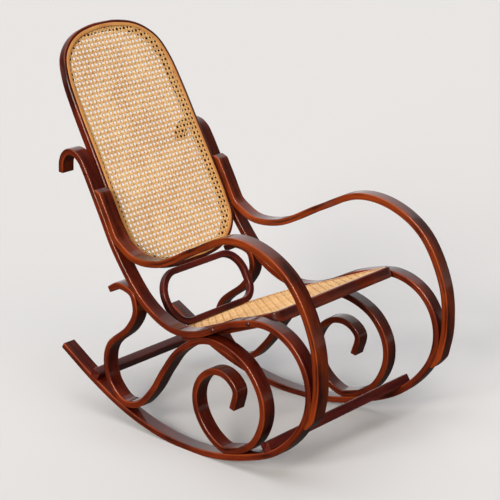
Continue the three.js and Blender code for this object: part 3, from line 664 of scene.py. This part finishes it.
hoopRight = [Vector((x * hoop["width"] / 2, 0, z * hoop["height"])) for x, z in hoop["rightHalf"]]
hoopLeft = [Vector((-p.x, 0, p.z)) for p in reversed(hoopRight[1:-1])]
hoopLine = smoothLine(hoopRight + hoopLeft, hoop["step"], closed=True)
hoopStations = stationsOf(hoopLine, closed=True)
hoopCorners = canedCorners(hoop["railWidth"], hoop["railDepth"], hoop["rounding"])
bm = sweepStrip(hoopStations, rearward, hoopCorners, toMetres @ backMatrix, closed=True)
for v in bm.verts:
    # let into the posts where the two side frames draw together
    for side, matrix in ((-1, sides["right"]), (1, sides["left"])):
        local = (toMetres @ matrix).inverted() @ v.co
        if side * local.x > -halfWidth - caneEdge["gap"]:
            local.x = -side * (halfWidth + caneEdge["gap"])
            v.co = toMetres @ matrix @ local
finishPiece("backHoop", bm, lacqueredBeech, ["back_hoop"])
bm = sweepStrip(hoopStations, rearward, bandCorners(), toMetres @ backMatrix, closed=True)
finishPiece("backCaneBand", bm, rattanBand, ["back_cane_band"], weighted=False)
print("hoop made")


# the lumbar ring, between the hoop and the seat

ring = {
    "width": 316, "height": 146.994, "thickness": 16.5, "depth": 17.5, "forward": 9,
    "rounding": 3.4, "gap": 0.3, "radii": [68, 52, 70, 70], "step": 4,
}
halfRing = ring["width"] / 2
ringCorners = [
    Vector((-halfRing, 0, -ring["height"])), Vector((halfRing, 0, -ring["height"])),
    Vector((halfRing, 0, -ring["gap"])), Vector((-halfRing, 0, -ring["gap"])),
]
ringLine = roundedLine(ringCorners, ring["radii"], ring["step"], -rearward)
ringSection = sectionCorners(
    0, ring["thickness"], -ring["forward"], ring["depth"] - ring["forward"], ring["rounding"],
)
ringStations = stationsOf(ringLine, True)
bm = sweepStrip(ringStations, rearward, ringSection, toMetres @ backMatrix, closed=True)

# its foot is cut level with the seat
seat = {
    "depth": 414, "overhang": 14, "tilt": 22, "frontHalf": 226.932, "rearHalf": 201.722,
    "railWidth": 34, "railHeight": 28, "rounding": 4, "radii": [20, 20, 140, 140],
    "place": (0, 123.6317, 258.4509), "step": 4,
}
seatTurn = Matrix.Rotation(-math.radians(seat["tilt"]), 4, "X")
seatMatrix = Matrix.Translation(seat["place"]) @ seatTurn
seatUp = (seatMatrix.to_3x3() @ Vector((0, 0, 1))).normalized()
seatTop = toMetres @ seatMatrix @ Vector((0, 0, ring["gap"]))
bmesh.ops.bisect_plane(
    bm, geom=bm.verts[:] + bm.edges[:] + bm.faces[:],
    plane_co=seatTop, plane_no=seatUp, clear_inner=True,
)
bmesh.ops.holes_fill(bm, edges=[e for e in bm.edges if e.is_boundary])
finishPiece("lumbarRing", bm, darkLacqueredBeech, ["lumbar_ring"])
print("lumbar ring made")


# the seat ring

frontY, rearY = seat["overhang"] - seat["depth"], seat["overhang"]
seatCorners = [
    Vector((-seat["frontHalf"], frontY, 0)), Vector((seat["frontHalf"], frontY, 0)),
    Vector((seat["rearHalf"], rearY, 0)), Vector((-seat["rearHalf"], rearY, 0)),
]
downward = Vector((0, 0, -1))
seatLine = roundedLine(seatCorners, seat["radii"], seat["step"], -downward)
seatStations = stationsOf(seatLine, True)
seatSection = canedCorners(seat["railWidth"], seat["railHeight"], seat["rounding"])
bm = sweepStrip(seatStations, downward, seatSection, toMetres @ seatMatrix, closed=True)
finishPiece("seatRing", bm, lacqueredBeech, ["seat_ring"])
bm = sweepStrip(seatStations, downward, bandCorners(), toMetres @ seatMatrix, closed=True)
finishPiece("seatCaneBand", bm, rattanBand, ["seat_cane_band"], weighted=False)
print("seat ring made")


# the stretchers across the rockers

stretchers = {
    "front": {
        "right": (-258.871, -244.861, 86.617), "left": (260.806, -272.415, 104.217),
        "up": (0.5403, 0.8415),
    },
    "rear": {
        "right": (-225.800, 335.009, 110.644), "left": (225.800, 335.009, 110.644),
        "up": (-0.4533, 0.8913),
    },
}
stretcherBar = {"size": 24, "rounding": 3.2, "step": 40}
for name, bar in stretchers.items():
    start, end = Vector(bar["right"]), Vector(bar["left"])
    count = round((end - start).length / stretcherBar["step"])
    line = [start.lerp(end, i / count) for i in range(count + 1)]
    stations = [(p, sideways, run) for p, _, run in stationsOf(line)]
    upward = Vector((0, *bar["up"]))
    half = stretcherBar["size"] / 2
    section = sectionCorners(-half, half, -half, half, stretcherBar["rounding"])
    bm = sweepStrip(stations, upward.cross(sideways), section, toMetres)
    finishPiece(f"stretcher.{name}", bm, darkLacqueredBeech, [f"stretcher_{name}"])
print("stretchers made")


# the woven cane: pairs of uprights, pairs of rows and two sets of diagonals

weave = {
    "pitch": 12.775, "pairSpacing": 3.0, "strand": 2.2, "diagonal": 2.3, "thickness": 0.5,
    "depth": 2.5,  # of the weave's middle under the front of the hoop
    "ride": 0.45, "diagonalRide": 0.8, "tuck": 3.5, "shortest": 6,
    "flat": 0.18,  # share of the way to the next crossing over which a strand stays level
    "grainShift": 37, "grainSpread": 3.1,  # so that no two strands show the same fibres
}


def crossings(outline, start, direction):
    # where a straight line enters and leaves a convex outline, as lengths from its start
    found = []
    for a, b in zip(outline, outline[1:] + outline[:1]):
        edge = b - a
        turn = direction.x * edge.y - direction.y * edge.x
        if abs(turn) < 1e-9:
            continue
        gap = a - start
        along = (gap.x * edge.y - gap.y * edge.x) / turn
        share = (gap.x * direction.y - gap.y * direction.x) / turn
        if 0 <= share <= 1:
            found.append(along)
    longEnough = len(found) > 1 and max(found) - min(found) > weave["shortest"]
    return (min(found), max(found)) if longEnough else None


def weaveStrands(bm, outline, direction, spacing, offsets, width, knots, heightAt, matrix):
    # Lays parallel strands across the outline, each a narrow grid lifted where it rides over.
    strip = bm.verts.layers.float_vector.get("strip") or bm.verts.layers.float_vector.new("strip")
    normal = Vector((-direction.y, direction.x))
    reach = max(abs(p.dot(normal)) for p in outline)
    for line in range(-math.ceil(reach / spacing), math.ceil(reach / spacing) + 1):
        for offset in offsets:
            beside = line * spacing + offset
            start = normal * beside
            ends = crossings(outline, start, direction)
            if not ends:
                continue
            first, last = math.ceil(ends[0] / knots), math.floor(ends[1] / knots)
            stops = [ends[0]]
            for knot in range(first, last + 1):
                stops += [(knot - weave["flat"]) * knots, (knot + weave["flat"]) * knots]
            stops = [s for s in stops if ends[0] <= s <= ends[1]] + [ends[1]]
            made = bmesh.ops.create_grid(bm, x_segments=len(stops) - 1, y_segments=1, size=1)
            for v in made["verts"]:
                stop = stops[round((v.co.x + 1) / 2 * (len(stops) - 1))]
                across = v.co.y * width / 2
                place = start + direction * stop + normal * across
                height = heightAt(line, round(stop / knots))
                v.co = matrix @ Vector((place.x, place.y, height))
                v[strip] = Vector((
                    stop + weave["grainShift"] * line, across, beside * weave["grainSpread"],
                )) * mm


def weavePanel(name, nodeName, outline, matrix):
    # outline is flat: x across and y up the panel, and the matrix takes it to its place
    p, half = weave["pitch"], weave["pairSpacing"] / 2
    straight = bmesh.new()
    ride, cross = weave["ride"], weave["diagonalRide"]
    pair = [p / 2 - half, p / 2 + half]
    weaveStrands(
        straight, outline, Vector((0, 1)), p, pair, weave["strand"], p / 2,
        lambda line, knot: ride if knot % 4 == 1 else (-ride if knot % 4 == 3 else 0), matrix,
    )
    weaveStrands(
        straight, outline, Vector((1, 0)), p, pair, weave["strand"], p / 2,
        lambda line, knot: -ride if knot % 4 == 1 else (ride if knot % 4 == 3 else 0), matrix,
    )
    slanted = bmesh.new()
    diagonalSpacing = p / math.sqrt(2)
    for slope, sign in ((1, 1), (-1, -1)):
        weaveStrands(
            slanted, outline, Vector((1, slope)).normalized(), diagonalSpacing,
            [diagonalSpacing / 2], weave["diagonal"], diagonalSpacing / 2,
            lambda line, knot, sign=sign: cross * sign * (1 if (knot + line) % 2 else -1), matrix,
        )
    for part, bm, nodes in (("Straights", straight, [nodeName]), ("Diagonals", slanted, [])):
        piece = finishPiece(f"{name}{part}", bm, splitRattan, nodes, weighted=False)
        solid = piece.modifiers.new("Thickness", "SOLIDIFY")
        solid.thickness = weave["thickness"] * mm
        solid.offset = 0


def panelOutline(line, lateral, inset, flatten):
    return [
        flatten(place + direction.cross(lateral).normalized() * inset)
        for place, direction, _ in stationsOf(line, True)[:-1]
    ]


tuck = caneEdge["rim"] + caneEdge["gap"] + weave["tuck"]
middle = Vector((0, weave["depth"], hoop["height"] / 2))
backOutline = panelOutline(hoopLine, rearward, tuck, lambda p: Vector((p.x, p.z - middle.z)))
upright = Matrix.Translation(middle) @ Matrix.Rotation(math.pi / 2, 4, "X")
weavePanel("backCane", "back_cane_panel", backOutline, toMetres @ backMatrix @ upright)
seatMiddle = (frontY + rearY) / 2
seatOutline = panelOutline(seatLine, downward, tuck, lambda p: Vector((p.x, p.y - seatMiddle)))
flat = Matrix.Translation((0, seatMiddle, -weave["depth"]))
weavePanel("seatCane", "seat_cane_panel", seatOutline, toMetres @ seatMatrix @ flat)
print("cane woven")


# the screws and bolts

fastener = {
    "screwHead": [
        (0, 0.5), (1.6, 0.45), (3.2, 0.2), (4.1, -0.1), (4.1, -0.5), (2.1, -2.8), (2.1, -9),
    ],
    "boltHead": [
        (0, 3.6), (2.2, 3.45), (4.2, 2.9), (5.6, 1.9), (6.3, 0.8), (6.4, 0), (3, 0), (3, -12),
    ],
    "slotWidth": 0.9, "slotDepth": 0.7, "sides": 24, "boltSink": 3.6,
}


def nodeAxis(nodeName):
    # the top of a fastener's head and the way that it points, from its own solid
    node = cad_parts[nodeName]
    places = [node.matrix_world @ v.co for v in node.data.vertices]
    middle = sum(places, Vector()) / len(places)
    foot = max(places, key=lambda p: (p - middle).length)
    way = (middle - foot).normalized()
    return foot + way * max((p - foot).dot(way) for p in places), way


def turnFastener(nodeName, profile, slotted, sink):
    bm = bmesh.new()
    drawn = [bm.verts.new((radius * mm, 0, height * mm)) for radius, height in profile]
    edges = [bm.edges.new(pair) for pair in zip(drawn, drawn[1:])]
    bmesh.ops.spin(
        bm, geom=drawn + edges, cent=(0, 0, 0), axis=(0, 0, 1), angle=math.tau,
        steps=fastener["sides"], use_merge=True,
    )
    bmesh.ops.remove_doubles(bm, verts=bm.verts, dist=weld / 2 * mm)
    bmesh.ops.holes_fill(bm, edges=[e for e in bm.edges if e.is_boundary])
    bmesh.ops.recalc_face_normals(bm, faces=bm.faces)
    if slotted:
        halfSlot = fastener["slotWidth"] * mm / 2
        for side in (-1, 1):
            bmesh.ops.bisect_plane(
                bm, geom=bm.verts[:] + bm.edges[:] + bm.faces[:],
                plane_co=(0, side * halfSlot, 0), plane_no=(0, 1, 0),
            )
        floor = [
            f for f in bm.faces if f.normal.z > 0.5 and abs(f.calc_center_median().y) < halfSlot
        ]
        made = bmesh.ops.extrude_face_region(bm, geom=floor)["geom"]
        bmesh.ops.delete(bm, geom=floor, context="FACES")
        lowered = [g for g in made if isinstance(g, bmesh.types.BMVert)]
        bmesh.ops.translate(bm, verts=lowered, vec=(0, 0, -fastener["slotDepth"] * mm))
    top, way = nodeAxis(nodeName)
    turn = Vector((0, 0, 1)).rotation_difference(way).to_matrix().to_4x4()
    place = Matrix.Translation(top - way * sink * mm) @ turn
    bmesh.ops.transform(bm, matrix=place, verts=bm.verts)
    return bm


for nodeName in sorted(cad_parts):
    if "screw" not in nodeName and "bolt" not in nodeName:
        continue
    bolt = "bolt" in nodeName
    head = fastener["boltHead" if bolt else "screwHead"]
    bm = turnFastener(nodeName, head, not bolt, fastener["boltSink"] if bolt else 0.0)
    words = nodeName.split("_")
    camel = words[0] + "".join(word.capitalize() for word in words[1:])
    finishPiece(camel, bm, stainedBrass if bolt else tarnishedBrass, [nodeName])
print("fasteners turned")


# floor, light and camera

studio = {
    "floor": "ccced2", "world": "f6efe6", "dim": 0.08, "horizon": 0.6,
    "wall": 0.45, "wallWay": (0.77, 0.64, 0.1), "floorReach": 120, "lampReach": 3,
    "lights": [
        # name, the way that it comes from, softness in degrees, strength, colour
        ("overheadLight", (-0.2, 0.05, 1), 60, 1.5, "ffffff"),
        ("sideLight", (-1, -0.2, 0.42), 26, 4.0, "fff6ea"),
        ("frontLight", (-0.35, -0.9, 0.75), 50, 0.8, "ffeedd"),
        ("rearFill", (0.85, 0.5, 0.4), 60, 0.6, "f6f8ff"),
    ],
}
floorMesh = bpy.data.meshes.new("floor")
bm = bmesh.new()
bmesh.ops.create_grid(bm, x_segments=1, y_segments=1, size=studio["floorReach"])
bm.to_mesh(floorMesh)
bm.free()
floor = bpy.data.objects.new("floor", floorMesh)
bpy.context.scene.collection.objects.link(floor)
material, tree = newMaterial("Pale studio floor")
shader = addNode(
    tree, "ShaderNodeBsdfPrincipled",
    {"Base Color": colour(studio["floor"]), "Roughness": 0.9, "Specular IOR Level": 0.1},
)
addNode(tree, "ShaderNodeOutputMaterial", {}, {"Surface": shader.outputs[0]})
floorMesh.materials.append(material)
floor.visible_diffuse = False  # a pale floor must not wash out the underside of a dark chair
floor.visible_glossy = False

world = bpy.data.worlds.new("Studio")
world.use_nodes = True
world.node_tree.nodes.clear()
# a soft pale wall all round at eye level, higher where the tops of the strips reflect it
ways = addNode(world.node_tree, "ShaderNodeTexCoord")
towardsWall = addNode(
    world.node_tree, "ShaderNodeVectorMath", {"operation": "DOT_PRODUCT", 1: studio["wallWay"]},
    {0: ways.outputs["Generated"]},
)
wallShare = addNode(
    world.node_tree, "ShaderNodeMapRange", {"From Min": 0.3, "From Max": 0.85},
    {"Value": towardsWall.outputs["Value"]},
)
height = addNode(world.node_tree, "ShaderNodeSeparateXYZ", {}, {0: ways.outputs["Generated"]})
lowBand = addNode(
    world.node_tree, "ShaderNodeMapRange",
    {"From Min": 0.06, "From Max": 0.2, "To Min": studio["horizon"], "To Max": 0.0},
    {"Value": height.outputs["Z"]},
)
aboveFloor = addNode(
    world.node_tree, "ShaderNodeMapRange", {"From Min": -0.05, "From Max": -0.015},
    {"Value": height.outputs["Z"]},
)
farWall = addNode(
    world.node_tree, "ShaderNodeMath", {"operation": "MULTIPLY", 1: studio["wall"]},
    {0: wallShare.outputs[0]},
)
walls = addNode(
    world.node_tree, "ShaderNodeMath", {"operation": "MAXIMUM"},
    {0: farWall.outputs[0], 1: lowBand.outputs[0]},
)
brightness = addNode(
    world.node_tree, "ShaderNodeMath", {"operation": "MULTIPLY_ADD", 2: studio["dim"]},
    {0: walls.outputs[0], 1: aboveFloor.outputs[0]},
)
sky = addNode(
    world.node_tree, "ShaderNodeBackground", {"Color": colour(studio["world"])},
    {"Strength": brightness.outputs[0]},
)
addNode(world.node_tree, "ShaderNodeOutputWorld", {}, {"Surface": sky.outputs[0]})
bpy.context.scene.world = world

for name, way, softness, strength, tint in studio["lights"]:
    light = bpy.data.lights.new(name, "SUN")
    light.angle = math.radians(softness)
    light.energy = strength
    light.color = colour(tint)[:3]
    lamp = bpy.data.objects.new(name, light)
    lamp.location = Vector(way) * studio["lampReach"]
    lamp.rotation_euler = (-Vector(way)).to_track_quat("-Z", "Y").to_euler()
    bpy.context.scene.collection.objects.link(lamp)

view = {
    "place": (-3.1705, -2.6807, 1.7464), "way": (0.7326, 0.6107, -0.3004),
    "lens": 127.93, "sensor": 36, "reach": 500,
}
camera = bpy.data.objects.new("camera", bpy.data.cameras.new("camera"))
camera.data.lens = view["lens"]
camera.data.sensor_width = view["sensor"]
camera.data.clip_end = view["reach"]
camera.location = view["place"]
camera.rotation_euler = Vector(view["way"]).to_track_quat("-Z", "Y").to_euler()
bpy.context.scene.collection.objects.link(camera)
bpy.context.scene.camera = camera
bpy.context.scene.view_settings.view_transform = "Standard"
print("studio set")
